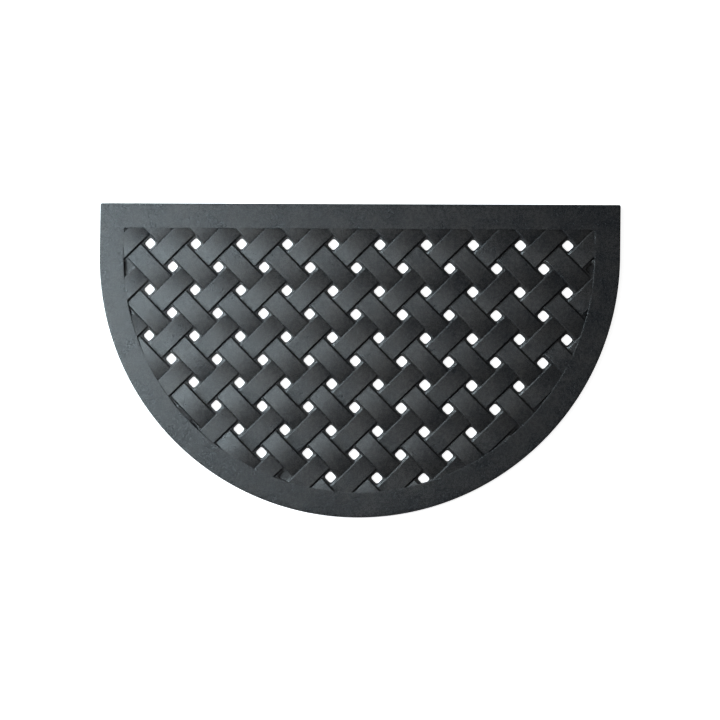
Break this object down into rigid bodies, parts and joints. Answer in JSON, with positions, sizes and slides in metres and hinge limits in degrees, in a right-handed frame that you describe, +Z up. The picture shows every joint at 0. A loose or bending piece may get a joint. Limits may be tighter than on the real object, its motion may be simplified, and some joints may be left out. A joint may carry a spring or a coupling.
{
  "type": "door mat",
  "caption": "Half-moon rubber door mat with a flat border round a plain weave of broad diagonal straps and small square drain holes.",
  "frame": {"origin": "centre of the mat's bounding box, on its flat underside", "axes": "+X along the straight edge (the long way), +Y from the round edge to the straight edge, +Z up out of the walking face"},
  "size_m": [0.75, 0.4499, 0.01],
  "materials": {
    "black_rubber": "semi-gloss, finely grained"
  },
  "bodies": {
    "root": {"border_rim": "black_rubber", "falling_strap_01": "black_rubber", "falling_strap_02": "black_rubber", "falling_strap_03": "black_rubber", "falling_strap_04": "black_rubber", "falling_strap_05": "black_rubber", "falling_strap_06": "black_rubber", "falling_strap_07": "black_rubber", "falling_strap_08": "black_rubber", "falling_strap_09": "black_rubber", "falling_strap_10": "black_rubber", "falling_strap_11": "black_rubber", "falling_strap_12": "black_rubber", "falling_strap_13": "black_rubber", "rising_strap_01": "black_rubber", "rising_strap_02": "black_rubber", "rising_strap_03": "black_rubber", "rising_strap_04": "black_rubber", "rising_strap_05": "black_rubber", "rising_strap_06": "black_rubber", "rising_strap_07": "black_rubber", "rising_strap_08": "black_rubber", "rising_strap_09": "black_rubber", "rising_strap_10": "black_rubber", "rising_strap_11": "black_rubber", "rising_strap_12": "black_rubber", "rising_strap_13": "black_rubber"}
  },
  "joints": []
}
